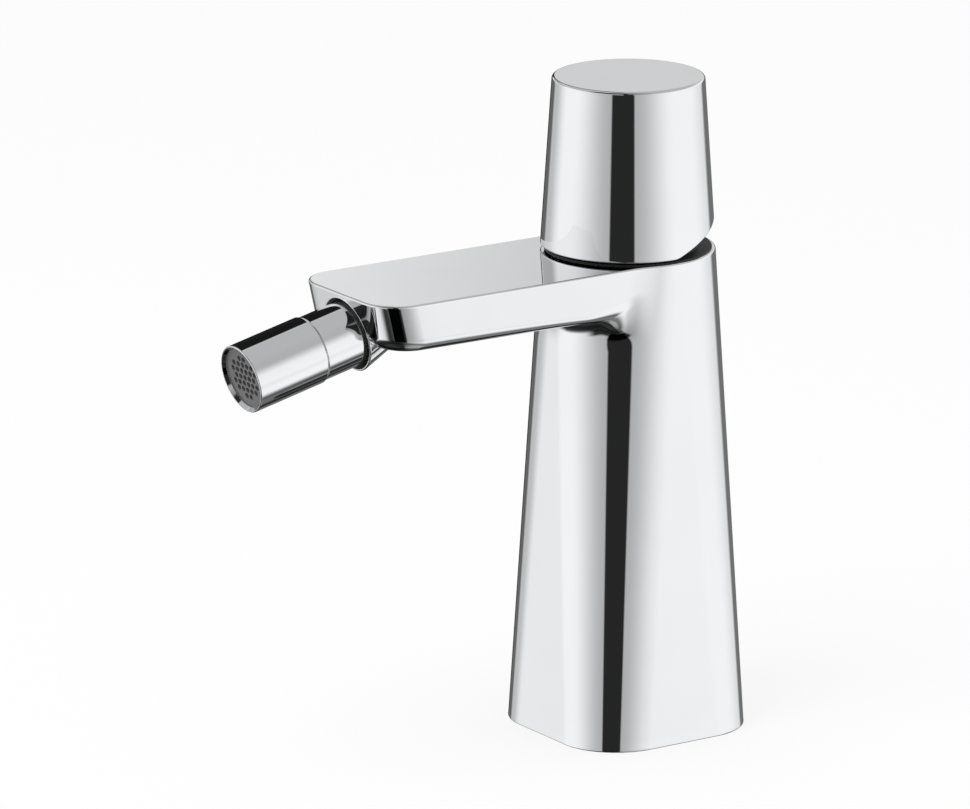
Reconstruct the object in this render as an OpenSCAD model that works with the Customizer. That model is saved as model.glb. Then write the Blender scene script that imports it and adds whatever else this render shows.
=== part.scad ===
// Single-lever bidet mixer: a cast column with a flat spout, a tilting knob over a ceramic-disc
// cartridge, and a nozzle that swivels on a ball joint. Lengths are in millimetres.
// The deck face lies on z = 0, the column's centre line is the Z axis and the spout points along -Y.

/* [Body] */
// Height of the column from the deck to the flat top
body_height = 135; // [120:1:170]
// Diameter of the column's round top
top_diameter = 48; // [48:0.5:60]
// Side of the column's square base
base_width = 56.5; // [53:0.5:66]
// Corner radius of the square base
base_corner_radius = 17; // [12:0.5:20]
// Wall of the hollow column round the hoses
body_wall = 5; // [4:0.5:7]
// Thickness of the block between the hose cavity and the cartridge seat
valve_block_height = 19; // [18:0.5:28]
// Width of the gasket in the deck face
gasket_width = 2; // [1.4:0.1:2.4]
// Depth of the gasket's groove in the deck face
gasket_groove_depth = 1.6; // [1.2:0.1:2.5]

/* [Spout] */
// Width of the spout
spout_width = 45; // [42:0.5:46]
// Thickness of the spout
spout_thickness = 13.5; // [11:0.5:14]
// Distance from the column's centre line to the front edge of the spout's top
spout_reach = 94; // [85:1:130]
// Corner radius of the spout's nose seen from above
nose_corner_radius = 10.4; // [6:0.2:14]
// Radius of the blend between the spout's underside and the column
spout_root_fillet = 8; // [3:0.5:10]
// Radius of the blend between the spout's sides and the round top
spout_flare_radius = 40; // [20:2:80]
// Width of the water channel inside the spout
waterway_width = 14; // [8:0.5:20]
// Height of the water channel inside the spout
waterway_height = 4; // [3:0.5:5]

/* [Connections] */
// Thread radius of the hose inlets
inlet_radius = 4.5; // [4:0.1:5]
// Thread depth of the hose inlets
inlet_depth = 13; // [10:0.5:14]
// Distance between the two hose inlets
inlet_spacing = 15; // [14:0.5:16]
// Distance of the hose inlets in front of the centre line
inlet_advance = 4; // [3.5:0.1:5]
// Thread radius of the fixing stud's hole
stud_radius = 3.4; // [2.5:0.1:4]
// Thread depth of the fixing stud's hole
stud_depth = 14; // [10:0.5:15]
// Distance of the fixing stud behind the centre line
stud_setback = 10; // [9:0.5:11]

/* [Knob] */
// Diameter of the knob at its lower rim
knob_base_diameter = 48; // [47:0.5:54]
// Diameter of the knob at its flat top
knob_top_diameter = 41.8; // [36:0.2:48]
// Height of the knob
knob_height = 46.8; // [44:0.2:60]
// Shadow gap between the column and the knob
knob_gap = 1; // [0.8:0.1:2]
// Side wall of the knob
knob_wall = 2.6; // [2:0.1:3]
// Thickness of the knob's top
knob_top_wall = 4; // [2.5:0.5:6]
// Bevel round the knob's flat top
knob_bevel = 0.8; // [0.4:0.1:1.5]
// Angle of the oblique cut under the rear half of the knob
knob_cut_angle = 20.5; // [17:0.5:24]
// Wall of the boss inside the knob
knob_boss_wall = 3; // [2:0.5:4]
// Radius of the screwdriver hole in the back of the knob
plug_radius = 3; // [2.8:0.1:3.5]

/* [Cartridge] */
// Diameter of the cartridge
cartridge_diameter = 35; // [34:0.5:36]
// Depth of the cartridge's seat below the column's top
cartridge_depth = 38; // [37:0.5:42]
// Side wall of the cartridge housing
cartridge_wall = 2; // [1.6:0.1:2.4]
// Top wall of the cartridge housing
cartridge_top_wall = 4; // [4:0.1:4.6]
// Height of the cartridge's base
cartridge_base_height = 6; // [5.5:0.1:7]
// Diameter of the fixed ceramic disc
fixed_disc_diameter = 26.8; // [25:0.2:28]
// Diameter of the moving ceramic disc
moving_disc_diameter = 24.8; // [23:0.2:25.4]
// Thickness of each ceramic disc
disc_thickness = 3.8; // [3:0.1:4.2]
// Radius of the water ports
port_radius = 2.6; // [2:0.1:2.8]
// Diameter of the turning guide's neck
rotor_diameter = 23; // [22:0.2:24]
// Depth of the lever's pivot below the column's top
lever_pivot_depth = 7; // [6.6:0.1:7.2]
// Length of the lever from its pivot to the ball at its foot
lever_arm = 7; // [6.8:0.1:7.4]
// Radius of the ball at the lever's foot
lever_ball_radius = 3; // [2.6:0.1:3.2]
// Width of the lever across the pin
lever_width = 6.4; // [5.6:0.2:7]
// Depth of the lever's stem from front to back
lever_depth = 8; // [7:0.2:8.4]
// Length of the lever's stem above the pivot
lever_stem_length = 42; // [36:1:44]
// Radius of the lever's pivot pin
pivot_pin_radius = 1.5; // [1.2:0.1:1.7]
// Length of the lever's pivot pin
pivot_pin_length = 19.6; // [16:0.2:20]
// Diameter of the nut that holds the cartridge down
nut_diameter = 39; // [38:0.2:40]
// Height of the nut's threaded part
nut_height = 4; // [3.6:0.1:4.4]
// Height of the ring that covers the nut
cover_height = 3; // [2.6:0.1:3.4]

/* [Nozzle] */
// Diameter of the nozzle's sleeve
nozzle_diameter = 19; // [18:0.2:20]
// Angle of the nozzle below the level
nozzle_tilt = 13; // [8:0.5:18]
// Length of the nozzle's sleeve
sleeve_length = 22; // [18:0.5:30]
// Visible length of the swivel housing between the spout and the sleeve
housing_reach = 12.2; // [11:0.2:18]
// Step from the sleeve's radius down to the swivel housing's
housing_step = 0.4; // [0.1:0.1:0.8]
// Room between the swivel housing and its socket in the spout
swivel_room = 0.9; // [0.9:0.1:1.2]
// Rim of the socket's boss round the socket
socket_rim = 0.9; // [0.7:0.1:1.6]
// Radius of the swivel ball
ball_radius = 6; // [5.6:0.1:6.2]
// Thickness of the cup between the ball and the housing
cup_thickness = 1.2; // [1:0.1:1.4]
// Radius of the swivel ball's threaded shank
shank_radius = 4.9; // [4.4:0.1:5]
// Radius of the water bore through the swivel ball
ball_bore_radius = 2.4; // [2:0.1:2.6]
// Radius of the holes in the outlet's face
outlet_hole_radius = 0.8; // [0.5:0.1:0.9]

/* [Fits] */
// Radial clearance of a part that turns or slides in another
running_clearance = 0.05; // [0.02:0.01:0.08]
// Radial clearance in a screwed or pushed-in fit
thread_clearance = 0.05; // [0.02:0.01:0.1]
// Width of the shadow line between the swivel housing and the sleeve
sleeve_gap = 0.3; // [0.1:0.05:0.6]

/* [Hidden] */
$fn = 72;
// Facets round the lofted column and its hollow
loft_facets = 96;
// Thickness of the end slices of a loft
loft_slice = 0.5;
// Steps in an arc of an outline
arc_steps = 12;
// Extra length of a cutting tool past the face that it cuts
over = 1;

// Column
top_radius = top_diameter / 2;
corner_offset = base_width / 2 - base_corner_radius;
seat_z = body_height - cartridge_depth;
cavity_top = seat_z - valve_block_height;
gasket_lift = 0.2;
gasket_inset = 1.5;
gasket_play = 0.1;

// Spout and its swivel socket; the nozzle's own frame has its origin at the ball and +Z along the jet
housing_radius = nozzle_diameter / 2 - housing_step;
socket_radius = housing_radius + swivel_room;
boss_radius = socket_radius + socket_rim;
boss_cover = 0.9;
pivot_inset = 0.5;
mouth_drop = boss_radius + boss_cover;
mouth = [0, mouth_drop * sin(nozzle_tilt) - spout_reach, body_height - mouth_drop * cos(nozzle_tilt)];
pivot = mouth + pivot_inset * [0, cos(nozzle_tilt), sin(nozzle_tilt)];
socket_depth = 6.2;
boss_taper = 0.27;
boss_length = 22;
shank_length = 9.5;
shank_end = socket_depth + shank_length;
shank_wall = 1.4;
neck_step = 1;
feed_length = 3;
feed_radius = shank_radius - shank_wall;
spout_bottom = body_height - spout_thickness;
waterway_floor = 2;
waterway_z = spout_bottom + waterway_floor;
flare_inset = 0.15;
corner_bite = 0.06;

// Cartridge, from its seat upwards
cartridge_radius = cartridge_diameter / 2;
bore_radius = cartridge_radius + thread_clearance;
nut_seat_z = body_height - nut_height;
base_top = seat_z + cartridge_base_height;
fixed_disc_top = base_top + disc_thickness;
disc_gap = 0.02;
moving_disc_bottom = fixed_disc_top + disc_gap;
moving_disc_top = moving_disc_bottom + disc_thickness;
housing_ceiling = nut_seat_z - cartridge_top_wall;
chamber_lift = 1.5;
chamber_bottom = seat_z + chamber_lift;
chamber_depth = 1.7;
chamber_top = housing_ceiling;
outlet_advance = 7.5;
side_outlet_step = 0.4;
pivot_z = body_height - lever_pivot_depth;
lever_hub_radius = 3.8;
lever_neck_radius = 2;
lever_shoulder = 1;
ball_foot_room = 0.6;
rotor_radius = rotor_diameter / 2;
rotor_flange_height = 2.6;
rotor_flange_top = housing_ceiling - running_clearance;
rotor_flange_bottom = rotor_flange_top - rotor_flange_height;
rotor_recess = 0.5;
rotor_top = body_height - rotor_recess;
rotor_slot_length = 13.2;
rotor_play = 0.3;
rotor_flange_radius = cartridge_radius - cartridge_wall - rotor_play;
carrier_gap = 0.5;
carrier_top = rotor_flange_bottom - carrier_gap;
carrier_radius = moving_disc_diameter / 2;
nut_radius = nut_diameter / 2;
nut_bore_radius = nut_radius + thread_clearance;
limit_ring_width = 2.2;
limit_ring_height = 2.5;
limit_ring_play = 0.2;
limit_ring_inner = rotor_radius + rotor_play;
limit_ring_outer = limit_ring_inner + limit_ring_width;
nut_inner_radius = limit_ring_outer + limit_ring_play;
nut_collar_wall = 0.8;
nut_collar_radius = (nut_inner_radius + nut_collar_wall) / cos(30);
nut_collar_height = 1.5;
cover_step = 0.5;
cover_radius = nut_radius - cover_step;
cover_wall = 1.2;
cover_flange_inset = 1;
cover_flange_height = 0.4;
cover_play = 0.2;
cover_eye = 1;
cover_inner_radius = rotor_radius + cover_eye;

// Seal sections
small_seal = 0.6;
large_seal = 0.7;
port_seal_width = 1.4;
port_seal_height = 1.6;
seal_land = 0.2;
stud_seal_inset = 2;
cartridge_seal_z = nut_seat_z - cartridge_top_wall / 2;
rotor_seal_z = nut_seat_z - small_seal - seal_land;
stud_seal_z = -socket_depth - stud_seal_inset;

// Knob
knob_z = body_height + knob_gap;
knob_base_radius = knob_base_diameter / 2;
knob_top_radius = knob_top_diameter / 2;
knob_top_z = knob_z + knob_height;
knob_ceiling_z = knob_top_z - knob_top_wall;
knob_slope = (knob_base_radius - knob_top_radius) / knob_height;
adaptor_radius = 8;
adaptor_lift = 11;
adaptor_bottom = knob_z + adaptor_lift;
adaptor_bore_radius = adaptor_radius + thread_clearance;
knob_boss_radius = adaptor_bore_radius + knob_boss_wall;
knob_boss_step = 1;
knob_boss_bottom = adaptor_bottom + knob_boss_step;
stem_top = pivot_z + lever_stem_length;
grub_lift = 19;
grub_z = knob_z + grub_lift;
grub_radius = 2.4;
grub_length = 7;
plug_recess = 0.5;

// Nozzle, measured along the jet from the ball's centre
cup_radius = ball_radius + running_clearance + cup_thickness;
cup_seat_radius = cup_radius + running_clearance;
housing_back = -3.8;
housing_chamfer = 1.5;
housing_chamfer_inset = 0.5;
cup_back = -2.9;
cup_trim = 1.85;
cup_front = cup_radius - cup_trim;
retainer_front = -0.5;
retainer_wall = 0.8;
retainer_radius = cup_seat_radius + retainer_wall;
housing_front = pivot_inset + housing_reach;
sleeve_back = housing_front + sleeve_gap;
sleeve_front = sleeve_back + sleeve_length;
sleeve_radius = nozzle_diameter / 2;
sleeve_wall = 0.8;
sleeve_bore_radius = sleeve_radius - sleeve_wall;
sleeve_lip = 1.3;
lip_width = 0.3;
lip_radius = sleeve_bore_radius - lip_width;
spigot_length = 4.8;
spigot_radius = sleeve_bore_radius - thread_clearance;
passage_radius = 4;
washer_back = housing_front + spigot_length;
washer_thickness = 1.5;
washer_step = 1;
aerator_play = 0.2;
mesh_back = washer_back + washer_thickness;
mesh_thickness = 0.9;
mesh_hole_radius = 0.7;
mesh_web = 0.7;
mesh_lap = 0.6;
insert_back = mesh_back + mesh_thickness;
insert_front = sleeve_front - sleeve_lip;
insert_wall = 1.4;
insert_face = 2.6;
insert_radius = sleeve_bore_radius - thread_clearance;
outlet_hole_web = 0.5;
outlet_hole_margin = 0.2;

// Corner radius of the column at a height: the square base turns steadily into the round top
function loft_radius(z) = base_corner_radius + (top_radius - base_corner_radius) * z / body_height;

// Distance of the column's corner centres from its centre line at a height
function loft_offset(z) = corner_offset * (1 - z / body_height);

// Points of an arc from one angle to another
function arc(centre, r, from, to) = [
    for (i = [0 : arc_steps]) centre + r * [cos(from + (to - from) * i / arc_steps),
                                            sin(from + (to - from) * i / arc_steps)]
];

// Outline of a square with round corners
function round_square(half, r) = [
    for (k = [0 : 3])
        each arc((half - r) * sqrt(2) * [cos(90 * k + 45), sin(90 * k + 45)], r, 90 * k, 90 * k + 90)
];

// Places of a close-packed field of holes inside a circle
function hole_field(pitch, radius) = let (n = ceil(radius / pitch) + 1) [
    for (i = [-n : n], j = [-n : n])
        let (p = pitch * [i + j / 2, j * sqrt(3) / 2])
        if (norm(p) <= radius) p
];

// Moves its children from the nozzle's own frame into the spout
module on_nozzle() {
    translate(pivot) rotate([90 + nozzle_tilt, 0, 0]) children();
}

// A disc between two stations along the nozzle or up the column
module disc(r, from, to) {
    translate([0, 0, from]) cylinder(r = r, h = to - from);
}

// A ring of rectangular section between two stations
module ring(outer, inner, from, to) {
    difference() {
        disc(outer, from, to);
        disc(inner, from - over, to + over);
    }
}

// An O-ring of a section radius whose outside has a given radius
module o_ring(outer, section) {
    rotate_extrude() translate([outer - section, 0]) circle(r = section);
}

// Four corner posts of the loft at a height, drawn in by a wall
module loft_corners(z, at, wall) {
    for (x = [-1, 1], y = [-1, 1])
        translate([x * loft_offset(z), y * loft_offset(z), at])
            cylinder(r = loft_radius(z) - wall, h = loft_slice, $fn = loft_facets);
}

// Outside of the column: round at the top, square with round corners at the deck
module column() {
    hull() {
        translate([0, 0, body_height - loft_slice])
            cylinder(r = top_radius, h = loft_slice, $fn = loft_facets);
        loft_corners(0, 0, 0);
    }
}

// Hollow in the column's foot where the hoses and the fixing stud come up
module hose_cavity() {
    hull() {
        loft_corners(cavity_top, cavity_top - loft_slice, body_wall);
        loft_corners(0, -over, body_wall);
    }
}

// Spout seen from above, longer than its nose: straight sides and a flare into the round top
module spout_plan() {
    half = spout_width / 2;
    flare_x = half + spout_flare_radius;
    flare_y = -sqrt(pow(top_radius - flare_inset + spout_flare_radius, 2) - pow(flare_x, 2));
    flare_angle = atan2(-flare_y, flare_x);
    right_side = concat(
        arc([flare_x, flare_y], spout_flare_radius, 180 - flare_angle, 180),
        [[half, -spout_reach - over]]
    );
    left_side = [for (i = [len(right_side) - 1 : -1 : 0]) [-right_side[i][0], right_side[i][1]]];
    polygon(concat(right_side, left_side));
}

// Soft blend under the spout where it leaves the column
module spout_root() {
    r = spout_root_fillet;
    root_radius = loft_offset(spout_bottom) + loft_radius(spout_bottom);
    blend = concat(
        [[root_radius - r, r], [root_radius + r, r], [root_radius + r, 0]],
        arc([root_radius + r, -r], r, 90, 180),
        [[root_radius - r, -r]]
    );
    intersection() {
        translate([0, 0, spout_bottom]) rotate_extrude() polygon(blend);
        translate([0, 0, spout_bottom - 2 * r]) linear_extrude(4 * r) spout_plan();
    }
}

// Tapered boss under the nose that holds the swivel socket
module socket_boss() {
    on_nozzle() translate([0, 0, pivot_inset - boss_length])
        cylinder(r1 = boss_radius - boss_taper * boss_length, r2 = boss_radius, h = boss_length);
}

// Front end of the spout in the plane of the nozzle's axis: a flat nose between two round corners
module nose_plan() {
    flat = spout_width / 2 - nose_corner_radius + corner_bite;
    translate([-flat, -nose_corner_radius - over]) square([2 * flat, nose_corner_radius + over]);
    for (x = [-1, 1]) translate([x * flat, -nose_corner_radius]) circle(r = nose_corner_radius);
}

// Everything in front of the nose, which is square to the nozzle and has its corners rounded along its slant
module nose_cut() {
    on_nozzle() translate([0, spout_width, pivot_inset]) rotate([90, 0, 0])
        linear_extrude(2 * spout_width) difference() {
            translate([-spout_width, -nose_corner_radius]) square([2 * spout_width, spout_width]);
            nose_plan();
        }
}

// Socket, shank thread and feed hole of the swivel ball
module swivel_bores() {
    on_nozzle() {
        translate([0, 0, -socket_depth])
            cylinder(r1 = socket_radius - boss_taper * (socket_depth + pivot_inset),
                     r2 = socket_radius + boss_taper * over, h = socket_depth + pivot_inset + over);
        disc(shank_radius + thread_clearance, -shank_end, -socket_depth + over);
        disc(feed_radius, -shank_end - feed_length, -shank_end + over);
    }
}

// Bores for the cartridge, its outlet chamber and its nut
module cartridge_bores() {
    disc(bore_radius, seat_z, body_height + over);
    disc(bore_radius + chamber_depth, chamber_bottom, chamber_top);
    disc(nut_bore_radius, nut_seat_z, body_height + over);
}

// Hose inlets with their ports, and the blind hole of the fixing stud
module connections() {
    for (x = [-1, 1]) translate([x * inlet_spacing / 2, -inlet_advance, 0]) {
        disc(inlet_radius, cavity_top - over, cavity_top + inlet_depth);
        disc(port_radius, cavity_top, seat_z + over);
    }
    translate([0, stud_setback, 0]) disc(stud_radius, cavity_top - over, cavity_top + stud_depth);
}

// Channel from the cartridge's outlet chamber to the swivel ball
module waterway() {
    feed_y = pivot[1] + (shank_end + feed_length / 2) * cos(nozzle_tilt);
    translate([-waterway_width / 2, feed_y, waterway_z])
        cube([waterway_width, -bore_radius - feed_y, waterway_height]);
}

// Ring-shaped groove for the gasket in the deck face, or the gasket that lies in it
module gasket_ring(width, from, to) {
    outer = base_width / 2 - gasket_inset - (gasket_width - width) / 2;
    translate([0, 0, from]) linear_extrude(to - from) difference() {
        polygon(round_square(outer, base_corner_radius - gasket_inset));
        polygon(round_square(outer - width, base_corner_radius - gasket_inset - width));
    }
}

// Cast column and spout in one piece
module mixer_body() {
    color("gainsboro") difference() {
        union() {
            column();
            translate([0, 0, spout_bottom]) linear_extrude(spout_thickness) spout_plan();
            spout_root();
            socket_boss();
        }
        hose_cavity();
        gasket_ring(gasket_width, -over, gasket_groove_depth);
        cartridge_bores();
        connections();
        waterway();
        nose_cut();
        swivel_bores();
    }
}

// Rubber gasket in the deck face
module base_gasket() {
    color("dimgray") gasket_ring(gasket_width - 2 * gasket_play, gasket_lift, gasket_groove_depth);
}

// Base of the cartridge with its inlet ports and a side outlet
module cartridge_base() {
    color("whitesmoke") difference() {
        disc(cartridge_radius, seat_z, base_top);
        for (x = [-1, 1]) translate([x * inlet_spacing / 2, -inlet_advance, 0]) {
            disc(port_radius, seat_z - over, base_top + over);
            disc(port_radius + port_seal_width + thread_clearance, seat_z - over, seat_z + port_seal_height);
        }
        translate([0, outlet_advance, seat_z + cartridge_base_height / 2]) {
            cylinder(r = port_radius, h = cartridge_base_height);
            rotate([-90, 0, 0]) cylinder(r = port_radius - side_outlet_step, h = cartridge_radius);
        }
    }
}

// Seals round the inlet ports under the cartridge
module port_seals() {
    color("black") for (x = [-1, 1]) translate([x * inlet_spacing / 2, -inlet_advance, 0])
        ring(port_radius + port_seal_width, port_radius + thread_clearance,
             seat_z, seat_z + port_seal_height);
}

// Ceramic disc with the two inlets and the outlet, fixed on the cartridge's base
module fixed_disc() {
    color("white") difference() {
        disc(fixed_disc_diameter / 2, base_top, fixed_disc_top);
        for (x = [-1, 1]) translate([x * inlet_spacing / 2, -inlet_advance, 0])
            disc(port_radius, base_top - over, fixed_disc_top + over);
        translate([0, outlet_advance, 0]) disc(port_radius, base_top - over, fixed_disc_top + over);
    }
}

// Cartridge housing with a groove for its O-ring and a bore for the turning guide
module cartridge_housing() {
    color("lightsteelblue") difference() {
        disc(cartridge_radius, base_top, nut_seat_z);
        disc(cartridge_radius - cartridge_wall, base_top - over, housing_ceiling);
        disc(rotor_radius + running_clearance, housing_ceiling - over, nut_seat_z + over);
        ring(cartridge_radius + over, cartridge_radius - 2 * large_seal - thread_clearance,
             cartridge_seal_z - large_seal - thread_clearance,
             cartridge_seal_z + large_seal + thread_clearance);
    }
}

// O-ring that seals the cartridge above its outlet chamber
module cartridge_o_ring() {
    color("black") translate([0, 0, cartridge_seal_z]) o_ring(cartridge_radius, large_seal);
}

// Toothed ring that limits how far the guide turns towards hot
module hot_limit_ring() {
    teeth = 18;
    tooth_depth = 0.6;
    color("firebrick") translate([0, 0, nut_seat_z]) difference() {
        ring(limit_ring_outer, limit_ring_inner, 0, limit_ring_height);
        for (i = [0 : teeth - 1]) rotate(360 * i / teeth)
            translate([limit_ring_outer, 0, limit_ring_height / 2]) rotate(45)
                cube([tooth_depth, tooth_depth, limit_ring_height + over], center = true);
    }
}

// Brass nut with a six-sided collar for the spanner
module cartridge_nut() {
    color("goldenrod") difference() {
        union() {
            disc(nut_radius, nut_seat_z, body_height);
            translate([0, 0, nut_seat_z])
                cylinder(r = nut_collar_radius, h = nut_height + nut_collar_height, $fn = 6);
        }
        disc(nut_inner_radius, nut_seat_z - over, body_height + nut_collar_height + over);
    }
}

// Cap ring over the nut; its flange lies on the column's top and makes the dark line under the knob
module cover_ring() {
    color("darkslategray") difference() {
        union() {
            disc(cover_radius, body_height, body_height + cover_height);
            disc(top_radius - cover_flange_inset, body_height, body_height + cover_flange_height);
        }
        disc(nut_collar_radius + cover_play, body_height - over, body_height + cover_height - cover_wall);
        disc(cover_inner_radius, body_height, body_height + cover_height + over);
    }
}

// Hollow ball stud screwed into the spout, with a six-sided key socket in the ball
module ball_stud() {
    neck_radius = shank_radius - neck_step;
    groove = shank_radius - 2 * small_seal - thread_clearance;
    key_radius = ball_bore_radius + 0.5;
    key_depth = 3;
    color("silver") on_nozzle() difference() {
        union() {
            sphere(r = ball_radius);
            disc(neck_radius, -socket_depth - over, 0);
            disc(shank_radius, -shank_end, -socket_depth);
        }
        disc(ball_bore_radius, -shank_end - over, ball_radius + over);
        translate([0, 0, ball_radius - key_depth]) cylinder(r = key_radius, h = ball_radius, $fn = 6);
        ring(shank_radius + over, groove, stud_seal_z - small_seal - thread_clearance,
             stud_seal_z + small_seal + thread_clearance);
    }
}

// O-ring round the ball stud's shank
module ball_stud_seal() {
    color("black") on_nozzle() translate([0, 0, stud_seal_z]) o_ring(shank_radius, small_seal);
}

// Turning guide: a flange under the housing's top and a slotted neck that carries the lever's pin
module rotor_guide() {
    slot_width = lever_width + 2 * running_clearance;
    color("seagreen") difference() {
        union() {
            disc(rotor_flange_radius, rotor_flange_bottom, rotor_flange_top);
            disc(rotor_radius, rotor_flange_bottom, rotor_top);
        }
        translate([-slot_width / 2, -rotor_slot_length / 2, rotor_flange_bottom - over])
            cube([slot_width, rotor_slot_length, rotor_top - rotor_flange_bottom + 2 * over]);
        translate([-pivot_pin_length / 2, 0, pivot_z]) rotate([0, 90, 0])
            cylinder(r = pivot_pin_radius + thread_clearance, h = pivot_pin_length);
        ring(rotor_radius + over, rotor_radius - 2 * small_seal - thread_clearance,
             rotor_seal_z - small_seal - thread_clearance, rotor_seal_z + small_seal + thread_clearance);
    }
}

// O-ring round the turning guide's neck
module rotor_seal() {
    color("black") translate([0, 0, rotor_seal_z]) o_ring(rotor_radius, small_seal);
}

// Steel pin that the lever tilts on
module pivot_pin() {
    color("darkgray") translate([-pivot_pin_length / 2, 0, pivot_z]) rotate([0, 90, 0])
        cylinder(r = pivot_pin_radius, h = pivot_pin_length);
}

// Lever: a flat stem, a round hub on the pin and a ball at its foot
module lever_stem() {
    color("goldenrod") difference() {
        union() {
            translate([-lever_width / 2, 0, pivot_z]) rotate([0, 90, 0])
                cylinder(r = lever_hub_radius, h = lever_width);
            translate([-lever_width / 2, -lever_depth / 2, pivot_z + lever_shoulder])
                cube([lever_width, lever_depth, lever_stem_length - lever_shoulder]);
            disc(lever_neck_radius, pivot_z - lever_arm, pivot_z);
            translate([0, 0, pivot_z - lever_arm]) sphere(r = lever_ball_radius);
        }
        translate([-lever_width, 0, pivot_z]) rotate([0, 90, 0])
            cylinder(r = pivot_pin_radius + running_clearance, h = 2 * lever_width);
    }
}

// Hollow conical knob with a flat top, an inner boss and a rear rim cut obliquely for the tilt
module knob_shell() {
    inner_top = knob_top_radius + knob_slope * knob_top_wall - knob_wall;
    cut = 2 * knob_base_diameter;
    profile = [
        [0, knob_ceiling_z],
        [inner_top, knob_ceiling_z],
        [knob_base_radius - knob_wall, knob_z],
        [knob_base_radius, knob_z],
        [knob_top_radius + knob_slope * knob_bevel, knob_top_z - knob_bevel],
        [knob_top_radius - knob_bevel, knob_top_z],
        [0, knob_top_z]
    ];
    color("gainsboro") difference() {
        union() {
            rotate_extrude() polygon(profile);
            ring(knob_boss_radius, adaptor_bore_radius, knob_boss_bottom, knob_ceiling_z + over);
        }
        translate([-cut / 2, 0, knob_z]) rotate([knob_cut_angle, 0, 0]) translate([0, 0, -knob_height])
            cube([cut, cut, knob_height]);
        translate([0, 0, grub_z]) rotate([-90, 0, 0]) {
            cylinder(r = grub_radius + thread_clearance, h = knob_boss_radius + over);
            disc(plug_radius + thread_clearance, knob_top_radius - knob_wall - over, knob_base_radius + over);
        }
    }
}

// Plastic adaptor pressed into the knob's boss, with a slot for the lever's stem
module knob_adaptor() {
    slot = [lever_width + 2 * thread_clearance, lever_depth + 2 * thread_clearance];
    color("darkslategray") difference() {
        disc(adaptor_radius, adaptor_bottom, knob_ceiling_z);
        translate([-slot[0] / 2, -slot[1] / 2, adaptor_bottom - over])
            cube([slot[0], slot[1], stem_top - adaptor_bottom + over]);
        translate([0, 0, grub_z]) rotate([-90, 0, 0])
            cylinder(r = grub_radius + thread_clearance, h = 2 * adaptor_radius);
    }
}

// Grub screw that clamps the adaptor to the lever
module grub_screw() {
    key_radius = 1.4;
    key_depth = 3;
    color("darkgray") translate([0, lever_depth / 2 + thread_clearance, grub_z]) rotate([-90, 0, 0])
        difference() {
            disc(grub_radius, 0, grub_length);
            translate([0, 0, grub_length - key_depth])
                cylinder(r = key_radius, h = key_depth + over, $fn = 6);
        }
}

// Plug in the screwdriver hole at the back of the knob
module grub_screw_plug() {
    outside = knob_base_radius - knob_slope * grub_lift;
    color("silver") translate([0, outside - knob_wall, grub_z]) rotate([-90, 0, 0])
        disc(plug_radius, 0, knob_wall - plug_recess);
}

// Carrier that the lever's ball pushes to and fro over the discs
module disc_carrier() {
    hole_bottom = pivot_z - lever_arm - lever_ball_radius - ball_foot_room;
    color("steelblue") difference() {
        disc(carrier_radius, moving_disc_top, carrier_top);
        disc(lever_ball_radius + running_clearance, hole_bottom, carrier_top + over);
    }
}

// Moving ceramic disc with a mixing pocket in its underside
module moving_disc() {
    pocket_roof = 1.5;
    pocket_rim = 1.6;
    pocket_lap = 0.2;
    pocket_front = port_radius - inlet_advance + pocket_lap;
    pocket_top = moving_disc_top - pocket_roof;
    color("white") difference() {
        disc(moving_disc_diameter / 2, moving_disc_bottom, moving_disc_top);
        intersection() {
            disc(moving_disc_diameter / 2 - pocket_rim, moving_disc_bottom - over, pocket_top);
            translate([-moving_disc_diameter, pocket_front, pocket_top - moving_disc_diameter])
                cube([2 * moving_disc_diameter, moving_disc_diameter, moving_disc_diameter]);
        }
    }
}

// Plastic cup snapped over the swivel ball
module ball_cup() {
    color("whitesmoke") on_nozzle() difference() {
        intersection() {
            sphere(r = cup_radius);
            disc(2 * cup_radius, cup_back, cup_front);
        }
        sphere(r = ball_radius + running_clearance);
    }
}

// Swivel housing: a seat for the ball's cup, a water passage and a spigot for the sleeve
module swivel_housing() {
    color("gainsboro") on_nozzle() difference() {
        union() {
            disc(housing_radius, housing_back + housing_chamfer, housing_front);
            translate([0, 0, housing_back])
                cylinder(r1 = housing_radius - housing_chamfer_inset, r2 = housing_radius,
                         h = housing_chamfer);
            disc(spigot_radius, housing_front - over, washer_back);
        }
        intersection() {
            sphere(r = cup_seat_radius);
            disc(2 * cup_seat_radius, retainer_front - over, 2 * cup_seat_radius);
        }
        disc(retainer_radius + thread_clearance, housing_back - over, retainer_front);
        disc(passage_radius, 0, washer_back + over);
    }
}

// Ring screwed into the back of the swivel housing that holds the cup
module swivel_retainer() {
    color("goldenrod") on_nozzle() difference() {
        disc(retainer_radius, housing_back, retainer_front);
        sphere(r = cup_seat_radius);
    }
}

// Rubber washer between the swivel housing and the aerator
module aerator_washer() {
    color("black") on_nozzle()
        ring(sleeve_bore_radius - aerator_play, passage_radius + washer_step, washer_back, mesh_back);
}

// Perforated strainer on the back of the aerator
module aerator_mesh() {
    color("lightgray") on_nozzle() difference() {
        disc(sleeve_bore_radius - aerator_play, mesh_back, insert_back);
        for (p = hole_field(2 * mesh_hole_radius + mesh_web, passage_radius + mesh_lap))
            translate([p[0], p[1], 0]) disc(mesh_hole_radius, mesh_back - over, insert_back + over);
    }
}

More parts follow.
